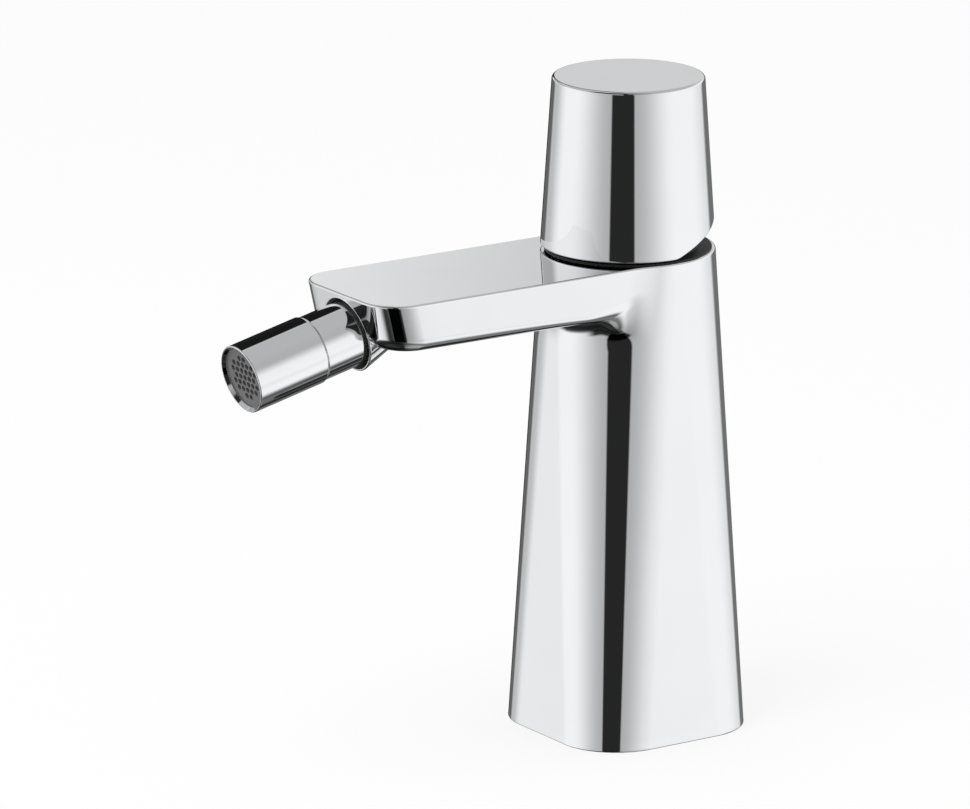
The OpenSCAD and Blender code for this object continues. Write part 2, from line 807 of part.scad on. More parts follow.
// Aerator insert: a cup whose face breaks the jet through a field of holes
module aerator_insert() {
    chamber_radius = insert_radius - insert_wall;
    face_back = insert_front - insert_face;
    holes = hole_field(2 * outlet_hole_radius + outlet_hole_web,
                       chamber_radius - outlet_hole_radius - outlet_hole_margin);
    color("dimgray") on_nozzle() difference() {
        disc(insert_radius, insert_back, insert_front);
        disc(chamber_radius, insert_back - over, face_back);
        for (p = holes) translate([p[0], p[1], 0])
            disc(outlet_hole_radius, face_back - over, insert_front + over);
    }
}

// Sleeve that holds the aerator on the swivel housing
module nozzle_sleeve() {
    color("gainsboro") on_nozzle() difference() {
        disc(sleeve_radius, sleeve_back, sleeve_front);
        disc(sleeve_bore_radius, sleeve_back - over, insert_front);
        disc(lip_radius, insert_front - over, sleeve_front + over);
    }
}

mixer_body();
base_gasket();
cartridge_base();
port_seals();
fixed_disc();
cartridge_housing();
cartridge_o_ring();
hot_limit_ring();
cartridge_nut();
cover_ring();
ball_stud();
ball_stud_seal();
rotor_guide();
rotor_seal();
pivot_pin();
lever_stem();
knob_shell();
knob_adaptor();
grub_screw();
grub_screw_plug();
disc_carrier();
moving_disc();
ball_cup();
swivel_housing();
swivel_retainer();
aerator_washer();
aerator_mesh();
aerator_insert();
nozzle_sleeve();
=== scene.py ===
"""Looks of a single-lever bidet mixer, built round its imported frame.

Lengths are in millimetres and become metres when a mesh, the lamp or the camera is made. The column stands
on z = 0 with its centre line on the Z axis, and the spout points along -Y.
"""

import logging
import math
from dataclasses import dataclass, field, replace
from enum import Enum

import bmesh
import bpy
import numpy as np
from mathutils import Matrix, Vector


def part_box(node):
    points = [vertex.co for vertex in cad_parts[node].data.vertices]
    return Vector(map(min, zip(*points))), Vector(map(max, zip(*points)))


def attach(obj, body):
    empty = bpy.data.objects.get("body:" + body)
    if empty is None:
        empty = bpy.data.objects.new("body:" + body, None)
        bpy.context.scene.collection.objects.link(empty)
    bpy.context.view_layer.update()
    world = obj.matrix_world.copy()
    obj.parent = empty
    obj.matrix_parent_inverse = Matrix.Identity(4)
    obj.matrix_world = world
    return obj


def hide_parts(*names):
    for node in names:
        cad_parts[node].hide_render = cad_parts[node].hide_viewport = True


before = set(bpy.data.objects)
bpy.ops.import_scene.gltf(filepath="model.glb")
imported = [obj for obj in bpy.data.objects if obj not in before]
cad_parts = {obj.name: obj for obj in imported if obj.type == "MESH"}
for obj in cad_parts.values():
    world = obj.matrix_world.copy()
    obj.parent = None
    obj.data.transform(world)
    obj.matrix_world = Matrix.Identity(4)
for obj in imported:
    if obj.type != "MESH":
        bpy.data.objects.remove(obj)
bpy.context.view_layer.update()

MM = 0.001
# Points nearer than this become one, in metres: on a new surface, and along the seam of two solids
MERGE_DISTANCE = 2e-7
SEAM_DISTANCE = 4e-6
# Angle in degrees above which an edge stays sharp
CREASE_ANGLE = 34.0
# Octaves of a finish's two noises, and the values of the grain that span its roughness
CLOUD_DETAIL = 2.0
GRAIN_DETAIL = 3.0
GRAIN_SPAN = (0.3, 0.7)
# Sockets of a Mix node by number, because its colours and its floats share their names
COLOUR_A, COLOUR_B, COLOUR_OUT = 6, 7, 2
FLOAT_A, FLOAT_B, FLOAT_OUT = 2, 3, 0
LOG = logging.getLogger("bidet_mixer")


def linear(hex_colour: str) -> tuple[float, float, float, float]:
    """Turns an sRGB hex colour into linear light.

    A coded share is divided by 12.92 up to 0.04045, and above that it becomes (share + 0.055) / 1.055 to the
    power of 2.4.

    Args:
        hex_colour: colour such as #F3F4F5.

    Returns:
        Red, green, blue and a full alpha.
    """
    coded = np.array([int(hex_colour[i:i + 2], 16) for i in (1, 3, 5)]) / 255.0
    lit = np.where(coded <= 0.04045, coded / 12.92, ((coded + 0.055) / 1.055) ** 2.4)
    return (*lit.tolist(), 1.0)


def node(tree: bpy.types.NodeTree, kind: str, settings: dict | None = None,
         inputs: dict | None = None) -> bpy.types.Node:
    """Adds a shader node with its settings and links.

    Args:
        tree: node tree that takes the node.
        kind: Blender's name of the node type.
        settings: properties of the node.
        inputs: values or output sockets for its inputs, by name or number.

    Returns:
        The new node.
    """
    made = tree.nodes.new(kind)
    for name, value in (settings or {}).items():
        setattr(made, name, value)
    for name, value in (inputs or {}).items():
        if isinstance(value, bpy.types.NodeSocket):
            tree.links.new(value, made.inputs[name])
        else:
            made.inputs[name].default_value = value
    return made


class Pattern(Enum):
    """Scale of a surface's finest marks along X, Y and Z: under 1 draws them out into rings or lines."""

    EVEN = (1.0, 1.0, 1.0)
    TURNED = (0.06, 0.06, 1.0)
    DRAWN = (0.05, 1.0, 1.0)


@dataclass(frozen=True)
class Finish:
    """A surface: two close tints clouded into each other, a range of roughness and a fine relief.

    The cloud and the grain are noise on object coordinates, each scaled from a real size in millimetres.
    """

    name: str
    tint: str
    shade: str
    metallic: float
    roughness: tuple[float, float]
    pattern: Pattern
    cloud_mm: float
    grain_mm: float
    relief_mm: float
    ior: float = 1.5

    def material(self) -> bpy.types.Material:
        """Makes the material once and returns the same one after that.

        Returns:
            The node material.
        """
        known = bpy.data.materials.get(self.name)
        if known:
            return known
        made = bpy.data.materials.new(self.name)
        made.use_nodes = True
        tree = made.node_tree
        shader = tree.nodes["Principled BSDF"]
        place = node(tree, "ShaderNodeTexCoord")
        marks = node(tree, "ShaderNodeMapping", inputs={"Vector": place.outputs["Object"],
                                                       "Scale": self.pattern.value})
        cloud = node(tree, "ShaderNodeTexNoise", inputs={
            "Vector": place.outputs["Object"], "Scale": 1.0 / (self.cloud_mm * MM), "Detail": CLOUD_DETAIL})
        grain = node(tree, "ShaderNodeTexNoise", inputs={
            "Vector": marks.outputs["Vector"], "Scale": 1.0 / (self.grain_mm * MM), "Detail": GRAIN_DETAIL})
        tone = node(tree, "ShaderNodeMix", {"data_type": "RGBA"}, {
            "Factor": cloud.outputs["Fac"], COLOUR_A: linear(self.tint), COLOUR_B: linear(self.shade)})
        haze = node(tree, "ShaderNodeMapRange", inputs={
            "Value": grain.outputs["Fac"], "From Min": GRAIN_SPAN[0], "From Max": GRAIN_SPAN[1],
            "To Min": self.roughness[0], "To Max": self.roughness[1]})
        relief = node(tree, "ShaderNodeBump", inputs={
            "Height": grain.outputs["Fac"], "Strength": 1.0, "Distance": self.relief_mm * MM})
        tree.links.new(tone.outputs[COLOUR_OUT], shader.inputs["Base Color"])
        tree.links.new(haze.outputs["Result"], shader.inputs["Roughness"])
        tree.links.new(relief.outputs["Normal"], shader.inputs["Normal"])
        shader.inputs["Metallic"].default_value = self.metallic
        if not self.metallic:
            shader.inputs["IOR"].default_value = self.ior
        return made


# Tool rings, draw lines and moulded textures are finer in truth, and drawn this coarse so that they show

# Plated and buffed brass: a clear mirror with a breath of haze and no visible grain
CHROME = Finish("polished_chrome_plate", "#F4F5F6", "#EDEEF0", 1.0, (0.02, 0.045), Pattern.EVEN,
                30.0, 7.0, 0.0004)
# Nickel undercoat where the chrome bath hardly reaches: dull, dark and pitted; in the socket it is painted
# shade
UNDERCOAT_AND_PAINTED_SHADE = Finish("dull_nickel_undercoat_and_painted_shade", "#7E7D7B", "#656463", 1.0, (0.5, 0.65), Pattern.EVEN,
                   4.0, 0.5, 0.01)
# Turned brass: warm metal with fine tool rings
BRASS = Finish("turned_brass", "#D9B46A", "#C79C50", 1.0, (0.18, 0.34), Pattern.TURNED,
               9.0, 0.5, 0.004)
# Drawn stainless steel: cool grey with fine draw lines
STEEL = Finish("drawn_stainless_steel", "#C9CBCD", "#B3B6B9", 1.0, (0.2, 0.36), Pattern.DRAWN,
               6.0, 0.4, 0.003)
# Moulded nitrile rubber: nearly black, dull and slightly mottled
RUBBER = Finish("moulded_nitrile_rubber", "#1B1B1C", "#2A2A2B", 0.0, (0.55, 0.75), Pattern.EVEN,
                5.0, 0.6, 0.01, 1.52)
# Lapped alumina: cold white with a soft gloss
CERAMIC = Finish("lapped_alumina", "#F2F0EA", "#E6E3DB", 0.0, (0.08, 0.18), Pattern.EVEN,
                 8.0, 0.5, 0.001, 1.76)
# Moulded acetal: a waxy sheen over a fine spark-eroded texture
ACETAL_BLUE = Finish("moulded_acetal_blue", "#4C79A8", "#416C99", 0.0, (0.3, 0.45), Pattern.EVEN,
                     10.0, 0.5, 0.006, 1.48)
ACETAL_WHITE = replace(ACETAL_BLUE, name="moulded_acetal_white", tint="#ECEBE6", shade="#DFDED8")
ACETAL_RED = replace(ACETAL_BLUE, name="moulded_acetal_red", tint="#B03A30", shade="#9C3029")
ACETAL_GREY = replace(ACETAL_BLUE, name="moulded_acetal_grey", tint="#68686A", shade="#5D5D5E", cloud_mm=6.0)
# Moulded ABS: matt black, and painted shade where it stands in for the shadow in the gap under the knob
BLACK_ABS_AND_PAINTED_SHADE = Finish("moulded_abs_black_and_painted_shade", "#18181A", "#111112", 0.0, (0.45, 0.6), Pattern.EVEN,
                   6.0, 0.5, 0.006, 1.53)


class Join(Enum):
    """How one solid meets another."""

    ADD = "UNION"
    CUT = "DIFFERENCE"


def weld(mesh: bpy.types.Mesh, distance: float) -> None:
    """Merges points that fall together, drops faces without area and turns the rest outwards.

    Args:
        mesh: closed mesh that is changed.
        distance: points nearer than this become one, in metres.
    """
    work = bmesh.new()
    work.from_mesh(mesh)
    bmesh.ops.remove_doubles(work, verts=work.verts, dist=distance)
    bmesh.ops.dissolve_degenerate(work, edges=work.edges, dist=distance)
    bmesh.ops.recalc_face_normals(work, faces=work.faces)
    work.to_mesh(mesh)
    work.free()


def surface(name: str, grid: np.ndarray, finish: Finish | None = None) -> bpy.types.Object:
    """Makes a closed mesh from a grid of points whose columns run round.

    Quads join neighbouring points, the last column joins the first, and points that fall together at a
    pole or a closed end are merged before the faces are turned outwards.

    Args:
        name: name of the object.
        grid: points in millimetres, rows by columns by three.
        finish: finish of its faces, which a cut leaves on the faces that it makes.

    Returns:
        The new object, at the origin.
    """
    rows, columns, _ = grid.shape
    row = np.arange(rows - 1)[:, None] * columns
    here = np.arange(columns)[None, :]
    after = (here + 1) % columns
    quads = np.stack([row + here, row + after, row + columns + after, row + columns + here], axis=-1)
    mesh = bpy.data.meshes.new(name)
    mesh.from_pydata((grid.reshape(-1, 3) * MM).tolist(), [], quads.reshape(-1, 4).tolist())
    weld(mesh, MERGE_DISTANCE)
    if finish:
        mesh.materials.append(finish.material())
    made = bpy.data.objects.new(name, mesh)
    bpy.context.scene.collection.objects.link(made)
    return made


def combine(target: bpy.types.Object, tool: bpy.types.Object, how: Join) -> None:
    """Adds a tool's solid to a target or cuts it away, and discards the tool.

    Args:
        target: object that is changed.
        tool: closed object that is used up.
        how: whether the tool adds or cuts.
    """
    step = target.modifiers.new(how.name, "BOOLEAN")
    step.operation = how.value
    step.solver = "EXACT"
    step.material_mode = "TRANSFER"
    step.object = tool
    finished = bpy.data.meshes.new_from_object(target.evaluated_get(bpy.context.evaluated_depsgraph_get()))
    weld(finished, SEAM_DISTANCE)
    target.modifiers.clear()
    target.data = finished
    bpy.data.objects.remove(tool)


def present(piece: bpy.types.Object, finish: Finish, body: str, replaced: str) -> None:
    """Smooths a new piece, dresses it and lets it stand for a node of the frame.

    Args:
        piece: the new object.
        finish: its surface.
        body: the body that it moves with.
        replaced: the node that it stands for.
    """
    piece.data.shade_smooth()
    piece.data.set_sharp_from_angle(angle=math.radians(CREASE_ANGLE))
    if not piece.data.materials:
        piece.data.materials.append(finish.material())
    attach(piece, body)
    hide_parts(replaced)
    LOG.info("%s stands for %s: %d faces", piece.name, replaced, len(piece.data.polygons))


def dress(nodes: dict[str, Finish]) -> None:
    """Gives nodes of the frame their finishes.

    Args:
        nodes: finish of each node, by the node's name.
    """
    for name, finish in nodes.items():
        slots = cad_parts[name].data.materials
        slots.clear()
        slots.append(finish.material())
        LOG.info("%s is dressed in %s", name, finish.name)


def rounded(corners: list[tuple[float, float, float]], steps: int = 6, hold: float = 0.12) -> np.ndarray:
    """Profile through corner points, each with its own rounding radius.

    At a corner the arc touches both sides at radius / tan(half the corner's angle) from the corner. A
    holding point lies just outside each end of an arc, so that smooth shading stays flat on the straight
    stretches.

    Args:
        corners: points as (radius from the axis, station along it, rounding radius).
        steps: steps in an arc.
        hold: distance of a holding point from its arc.

    Returns:
        The points of the profile, two columns.
    """
    path = np.array(corners, float)
    pieces = [path[:1, :2]]
    for before, (x, y, radius), after in zip(path[:-2], path[1:-1], path[2:]):
        corner = np.array([x, y])
        if radius <= 0.0:
            pieces.append(corner[None])
            continue
        back = before[:2] - corner
        back /= np.linalg.norm(back)
        ahead = after[:2] - corner
        ahead /= np.linalg.norm(ahead)
        half = math.acos(float(np.clip(back @ ahead, -1.0, 1.0))) / 2.0
        reach = radius / math.tan(half)
        middle = back + ahead
        centre = corner + middle / np.linalg.norm(middle) * radius / math.sin(half)
        first = (corner + back * reach - centre) / radius
        last = (corner + ahead * reach - centre) / radius
        sweep = math.acos(float(np.clip(first @ last, -1.0, 1.0)))
        share = np.linspace(0.0, 1.0, steps + 1)[:, None]
        arc = (np.sin((1.0 - share) * sweep) * first + np.sin(share * sweep) * last) / math.sin(sweep)
        pieces += [(corner + back * (reach + hold))[None], centre + radius * arc,
                   (corner + ahead * (reach + hold))[None]]
    pieces.append(path[-1:, :2])
    return np.concatenate(pieces)


def revolve(profile: np.ndarray, segments: int = 144) -> np.ndarray:
    """Turns a profile about the Z axis: each point (r, h) becomes the circle (r cos t, r sin t, h).

    Args:
        profile: points as radius and height, two columns.
        segments: columns of the grid.

    Returns:
        Grid of points, one row for each point of the profile.
    """
    turn = np.linspace(0.0, 2.0 * np.pi, segments, endpoint=False)
    radius, height = profile[:, :1], profile[:, 1:]
    return np.stack([radius * np.cos(turn), radius * np.sin(turn), height + 0.0 * turn], axis=-1)


def smooth(share: np.ndarray) -> np.ndarray:
    """Eases shares from 0 to 1 with level ends: 3u² - 2u³."""
    return share * share * (3.0 - 2.0 * share)


def node_box(name: str) -> tuple[np.ndarray, np.ndarray]:
    """Lowest and highest corner of a node of the frame in millimetres."""
    low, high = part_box(name)
    return np.array(low) / MM, np.array(high) / MM


@dataclass
class Swivel:
    """Axis of the nozzle, square to the spout's leaning nose.

    Its origin lies at the ball, its local Z runs along the jet and its local Y rises with the nose.
    """

    tilt: float = 13.0
    mouth_drop: float = 11.8
    mouth_station: float = 0.5

    def placed(self, grid: np.ndarray) -> np.ndarray:
        """Moves points from the nozzle's own axes to the mixer's.

        The mouth's centre lies mouth_station along the jet from the ball, and mouth_drop down the nose from
        the spout's upper front edge.

        Args:
            grid: points along the nozzle's axes, last dimension three.

        Returns:
            The same points in the mixer's axes.
        """
        sine, cosine = math.sin(math.radians(self.tilt)), math.cos(math.radians(self.tilt))
        turn = np.array([[1.0, 0.0, 0.0], [0.0, -sine, cosine], [0.0, -cosine, -sine]])
        low, high = node_box("mixer_body")
        edge = np.array([0.0, low[1], high[2]])
        return (grid - np.array([0.0, self.mouth_drop, self.mouth_station])) @ turn + edge


@dataclass(frozen=True)
class ThreadedHole:
    """A hole from the column's hollow up into its ceiling, for a hose or the fixing stud."""

    x: float
    y: float
    radius: float
    depth: float


@dataclass
class ColumnAndSpout:
    """Cast column, square at the deck and round at the top, with its flat spout and the nozzle's socket."""

    swivel: Swivel
    height: float = field(default_factory=lambda: float(node_box("mixer_body")[1][2]))
    reach: float = field(default_factory=lambda: -float(node_box("mixer_body")[0][1]))
    base_half: float = field(default_factory=lambda: float(node_box("mixer_body")[1][0]))
    top_radius: float = 24.0
    base_corner: float = 17.0
    wall: float = 5.0
    cavity_top: float = 78.0
    seat_z: float = 97.0
    # Groove for the gasket in the base
    groove_inset: float = 1.5
    groove_width: float = 2.0
    groove_depth: float = 1.6
    # Spout, the flare at its root, and the rounded edges
    spout_half: float = 22.5
    spout_thickness: float = 13.5
    flare_radius: float = 40.0
    nose_corner: float = 10.4
    root_fillet: float = 10.0
    root_share: float = 0.55
    lower_edge: float = 4.5
    lower_share: float = 0.4
    flare_fade: float = 12.0
    flare_drop: float = 8.0
    flare_swell: float = 7.0
    top_edge: float = 0.6
    deck_edge: float = 0.4
    # Bores for the nut and the cartridge
    nut_bore: float = 19.55
    nut_depth: float = 4.0
    bore_edge: float = 0.3
    cartridge_bore: float = 17.55
    # Boss in the nose, its socket, and the ball stud's shank
    boss_radius: float = 10.9
    boss_length: float = 22.0
    boss_taper: float = 0.27
    boss_proud: float = 0.04
    boss_edge: float = 0.35
    socket_radius: float = 10.0
    socket_depth: float = 6.2
    socket_break: float = 0.3
    socket_clear: float = 2.0
    shank_radius: float = 4.95
    shank_end: float = 15.7
    tool_steps: int = 4
    tool_hold: float = 0.05
    # Threaded holes, and how far below the ceiling their cutters start
    holes: tuple[ThreadedHole, ...] = (
        ThreadedHole(-7.5, -4.0, 4.5, 13.0), ThreadedHole(7.5, -4.0, 4.5, 13.0),
        ThreadedHole(0.0, 10.0, 3.4, 14.0))
    hole_clear: float = 1.0
    hole_segments: int = 48
    # Points along the back, the flare, the side, the nose's corner and the nose
    counts: tuple[int, ...] = (64, 24, 36, 18, 10)
    # Rows of an arc, then for each stretch of the skin its rows and the share at which a holding row lies
    arc_rows: int = 9
    cavity_run: tuple[int, float] = (12, 0.0)
    climb_run: tuple[int, float] = (44, 0.004)
    ledge_run: tuple[int, float] = (14, 0.01)
    wall_run: tuple[int, float] = (8, 0.015)
    top_run: tuple[int, float] = (8, 0.01)

    @property
    def underside(self) -> float:
        """Height of the spout's underside."""
        return self.height - self.spout_thickness

    @staticmethod
    def section(angle: np.ndarray, offset: np.ndarray, radius: np.ndarray) -> np.ndarray:
        """Distance from the axis to a square with round corners.

        The square's corner arcs have the given radius about centres at (offset, offset). A ray meets the
        flat side at (offset + radius) / a while its other coordinate stays within the offset, and otherwise
        meets the arc at offset (a + b) + sqrt(offset² (a + b)² - 2 offset² + radius²), where a and b are the
        larger and the smaller of |cos| and |sin|.

        Args:
            angle: direction of the ray.
            offset: distance of the corner centres from both axes.
            radius: radius of the corners.

        Returns:
            Distance along each ray.
        """
        cosine, sine = np.abs(np.cos(angle)), np.abs(np.sin(angle))
        a, b = np.maximum(cosine, sine), np.minimum(cosine, sine)
        flat = (offset + radius) / a
        both = offset * (a + b)
        arc = both + np.sqrt(np.maximum(both ** 2 - 2.0 * offset ** 2 + radius ** 2, 0.0))
        return np.where(flat * b <= offset, flat, arc)

    def loft(self, z: np.ndarray) -> tuple[np.ndarray, np.ndarray]:
        """Corner offset and corner radius of the column at a height, both steady along it.

        Args:
            z: heights.

        Returns:
            Offset and radius at each height.
        """
        share = z / self.height
        offset = (self.base_half - self.base_corner) * (1.0 - share)
        return offset, self.base_corner + (self.top_radius - self.base_corner) * share

    def column(self, angle: np.ndarray, z: np.ndarray, inset: float = 0.0) -> np.ndarray:
        """Radius of the column, or of its hollow when drawn in by a wall.

        Args:
            angle: directions.
            z: heights.
            inset: wall that the outline is drawn in by.

        Returns:
            Distances from the axis.
        """
        offset, radius = self.loft(z)
        return self.section(angle, offset, radius - inset)

    def half_plan(self, z: np.ndarray) -> tuple[np.ndarray, np.ndarray]:
        """Right half of the outline round column and spout, from the back to the middle of the nose.

        The outline follows the column's section to where a flare circle touches it, the flare to the spout's
        side, the side, an elliptic nose corner and the nose, which leans with the nozzle.

        Args:
            z: height of each point, last dimension as many as the outline has points.

        Returns:
            Points and outward normals, each with a last dimension of two.
        """
        ends = np.cumsum(self.counts)
        parts = np.split(z, ends[:-1], axis=-1)
        share = [np.linspace(0.0, 1.0, count, endpoint=False) for count in self.counts]
        share[-1] = np.linspace(0.0, 1.0, self.counts[-1])
        flare_x = self.spout_half + self.flare_radius
        lean = math.tan(math.radians(self.swivel.tilt))
        nose_depth = self.nose_corner / math.cos(math.radians(self.swivel.tilt))
        nose_flat = self.spout_half - self.nose_corner

        def flare(height: np.ndarray) -> tuple[np.ndarray, np.ndarray, np.ndarray]:
            """Circle that blends the column into the spout's side.

            Its centre lies a flare radius outside the side, and at the corner radius plus the flare radius
            from the centre of the column's corner.

            Args:
                height: heights.

            Returns:
                The centre's y, the point where it touches the column, and the direction to it there.
            """
            offset, radius = self.loft(height)
            y = -offset - np.sqrt((radius + self.flare_radius) ** 2 - (flare_x - offset) ** 2)
            way = np.stack([flare_x - offset, y + offset], axis=-1)
            way /= np.linalg.norm(way, axis=-1, keepdims=True)
            touch = np.stack([offset, -offset], axis=-1) + radius[..., None] * way
            return y, touch, way

        def nose(height: np.ndarray) -> np.ndarray:
            """The nose's y at a height."""
            return -self.reach + (self.height - height) * lean

        _, touch, _ = flare(parts[0])
        angle = np.pi / 2.0 + (np.arctan2(touch[..., 1], touch[..., 0]) - np.pi / 2.0) * share[0]
        radius = self.column(angle, parts[0])
        back = np.stack([np.cos(angle), np.sin(angle)], axis=-1)
        centre_y, _, way = flare(parts[1])
        start = np.arctan2(-way[..., 1], -way[..., 0])
        sweep = start + (np.pi - start) * share[1]
        bend = np.stack([np.cos(sweep), np.sin(sweep)], axis=-1)
        side_from, _, _ = flare(parts[2])
        side_to = nose(parts[2]) + nose_depth
        fan = np.tan(np.linspace(*np.arctan2([side_from.mean(), side_to.mean()], self.spout_half),
                                 self.counts[2] + 1))[:-1]
        fan = (fan - fan[0]) / (side_to.mean() / self.spout_half - fan[0])
        side_y = side_from + (side_to - side_from) * fan
        corner = share[3] * np.pi / 2.0
        corner_y = nose(parts[3]) + nose_depth
        front_x = nose_flat * (1.0 - share[4])
        points = np.concatenate([
            radius[..., None] * back,
            np.stack([flare_x + 0.0 * sweep, centre_y], axis=-1) + self.flare_radius * bend,
            np.stack([self.spout_half + 0.0 * side_y, side_y], axis=-1),
            np.stack([nose_flat + self.nose_corner * np.cos(corner) + 0.0 * corner_y,
                      corner_y - nose_depth * np.sin(corner)], axis=-1),
            np.stack([front_x + 0.0 * parts[4], nose(parts[4])], axis=-1)], axis=-2)
        slope = np.stack([np.cos(corner) / self.nose_corner, -np.sin(corner) / nose_depth], axis=-1)
        slope = slope / np.linalg.norm(slope, axis=-1, keepdims=True)
        normals = np.concatenate([
            back, -bend,
            np.broadcast_to(np.array([1.0, 0.0]), side_y.shape + (2,)),
            np.broadcast_to(slope, corner_y.shape + (2,)),
            np.broadcast_to(np.array([0.0, -1.0]), parts[4].shape + (2,))], axis=-2)
        return points, normals

    def half_rows(self) -> np.ndarray:
        """Right half of the whole skin in rows of points, from the hollow's ceiling to the bore's floor.

        The ledge is the spout's overhang along each ray. A root fillet and a lower edge never take more than
        their shares of it: radius * share * ledge / (share * ledge + radius). Where the ledge runs out along
        the flare, both fade into one smooth step, 3u² - 2u³, from the column to the outline.

        Returns:
            Grid of points, rows by outline points by three.
        """
        count = sum(self.counts)
        level = np.ones(count)
        low, _ = self.half_plan(level * self.underside)
        high, _ = self.half_plan(level * self.height)
        angle = np.arctan2(low[:, 1], low[:, 0])
        top_angle = np.arctan2(high[:, 1], high[:, 0])
        ray = np.stack([np.cos(angle), np.sin(angle)], axis=-1)
        ledge = np.linalg.norm(low, axis=-1) - self.column(angle, level * self.underside)
        ledge = np.maximum(ledge, 0.0)
        spread = self.root_share * ledge * self.root_fillet / (self.root_share * ledge + self.root_fillet)
        edge = self.lower_share * ledge * self.lower_edge / (self.lower_share * ledge + self.lower_edge)
        full = smooth(np.clip(ledge / self.flare_fade, 0.0, 1.0))
        rise = self.flare_drop + (self.root_fillet - self.flare_drop) * full
        swell = self.flare_swell + (edge - self.flare_swell) * full
        rows = []

        def polar(radius: np.ndarray, z: np.ndarray, way: np.ndarray = ray) -> None:
            """Adds rows at a radius along the rays.

            Args:
                radius: distances from the axis.
                z: heights.
                way: directions of the rays.
            """
            shape = np.broadcast_shapes(np.shape(radius), np.shape(z), (1, count))
            flat = np.broadcast_to(radius, shape)[..., None] * way
            rows.append(np.concatenate([flat, np.broadcast_to(z, shape)[..., None]], axis=-1))

        def outline(z: np.ndarray, inset: np.ndarray) -> np.ndarray:
            """Outline at the heights, drawn in along its normals."""
            points, normals = self.half_plan(z)
            return np.concatenate([points - inset[..., None] * normals, z[..., None]], axis=-1)

        def run(steps: int, hold: float) -> np.ndarray:
            """Shares from 0 to 1 as a column, with holding rows close to both ends.

            Args:
                steps: rows from end to end.
                hold: share at which a holding row lies, or 0 for none.

            Returns:
                The shares.
            """
            share = np.linspace(0.0, 1.0, steps)
            if hold:
                share = np.concatenate([[0.0, hold], share[1:-1], [1.0 - hold, 1.0]])
            return share[:, None]

        quarter = np.linspace(0.0, np.pi / 2.0, self.arc_rows)[:, None]
        drop = self.cavity_top * (1.0 - run(*self.cavity_run))
        inner = self.base_corner - self.groove_inset
        corner_offset = self.base_half - self.base_corner
        polar(np.zeros((1, 1)), np.full((1, 1), self.cavity_top))
        polar(self.column(angle, drop + 0.0 * angle, self.wall), drop)
        for radius, z in ((inner - self.groove_width, 0.0), (inner - self.groove_width, self.groove_depth),
                          (inner, self.groove_depth), (inner, 0.0)):
            polar(self.section(angle, corner_offset, radius)[None], np.full((1, 1), z))
        deck = self.column(angle, 0.0 * angle)
        polar(deck - self.deck_edge * (1.0 - np.sin(quarter)), self.deck_edge * (1.0 - np.cos(quarter)))
        climb = self.deck_edge + (self.underside - rise - self.deck_edge) * run(*self.climb_run)[1:]
        polar(self.column(angle, climb), climb)
        bend_z = self.underside - rise * (1.0 - np.sin(quarter))
        bend_radius = self.column(angle, bend_z) + spread * (1.0 - np.cos(quarter))
        bend = np.concatenate([bend_radius[..., None] * ray, bend_z[..., None]], axis=-1)
        lip = outline(self.underside + swell * (1.0 - np.cos(quarter)), edge * (1.0 - np.sin(quarter)))
        share = run(*self.ledge_run)[1:-1, :, None]
        overhang = np.concatenate([bend, bend[-1] + (lip[0] - bend[-1]) * share, lip])
        share = np.linspace(0.0, 1.0, len(overhang))[:, None]
        step_z = self.underside - rise + (rise + swell) * share
        on_outline = outline(step_z, 0.0 * step_z)
        on_column = np.concatenate([self.column(angle, step_z)[..., None] * ray, step_z[..., None]], axis=-1)
        step = on_column + (on_outline - on_column) * smooth(share)[..., None]
        rows.append(step + (overhang - step) * full[:, None])
        wall_from, wall_to = self.underside + swell, self.height - self.top_edge
        wall = wall_from + (wall_to - wall_from) * run(*self.wall_run)[1:-1]
        rows.append(outline(wall, 0.0 * wall))
        crown = self.top_edge * (1.0 - np.cos(quarter))
        rows.append(outline(wall_to + self.top_edge * np.sin(quarter) + 0.0 * level, crown + 0.0 * level))
        top_ray = np.stack([np.cos(top_angle), np.sin(top_angle)], axis=-1)
        brim = rows[-1][-1, :, :2]
        rim = (self.nut_bore + self.bore_edge) * top_ray
        flat = brim + (rim - brim) * run(*self.top_run)[1:, :, None]
        rows.append(np.concatenate([flat, np.full(flat.shape[:2] + (1,), self.height)], axis=-1))
        shoulder = self.height - self.nut_depth
        for radius, z in ((self.nut_bore, self.height - self.bore_edge), (self.nut_bore, shoulder),
                          (self.cartridge_bore, shoulder), (self.cartridge_bore, self.seat_z),
                          (0.0, self.seat_z)):
            polar(np.full((1, 1), radius), np.full((1, 1), z), top_ray)
        return np.concatenate(rows)

    def tool(self, corners: list[tuple[float, float, float]], finish: Finish) -> bpy.types.Object:
        """A turned solid on the nozzle's axis, used to add or cut.

        Args:
            corners: its profile as radius, station and rounding.
            finish: finish of the faces that it leaves.

        Returns:
            The solid.
        """
        profile = rounded(corners, self.tool_steps, self.tool_hold)
        return surface("tool", self.swivel.placed(revolve(profile)), finish)

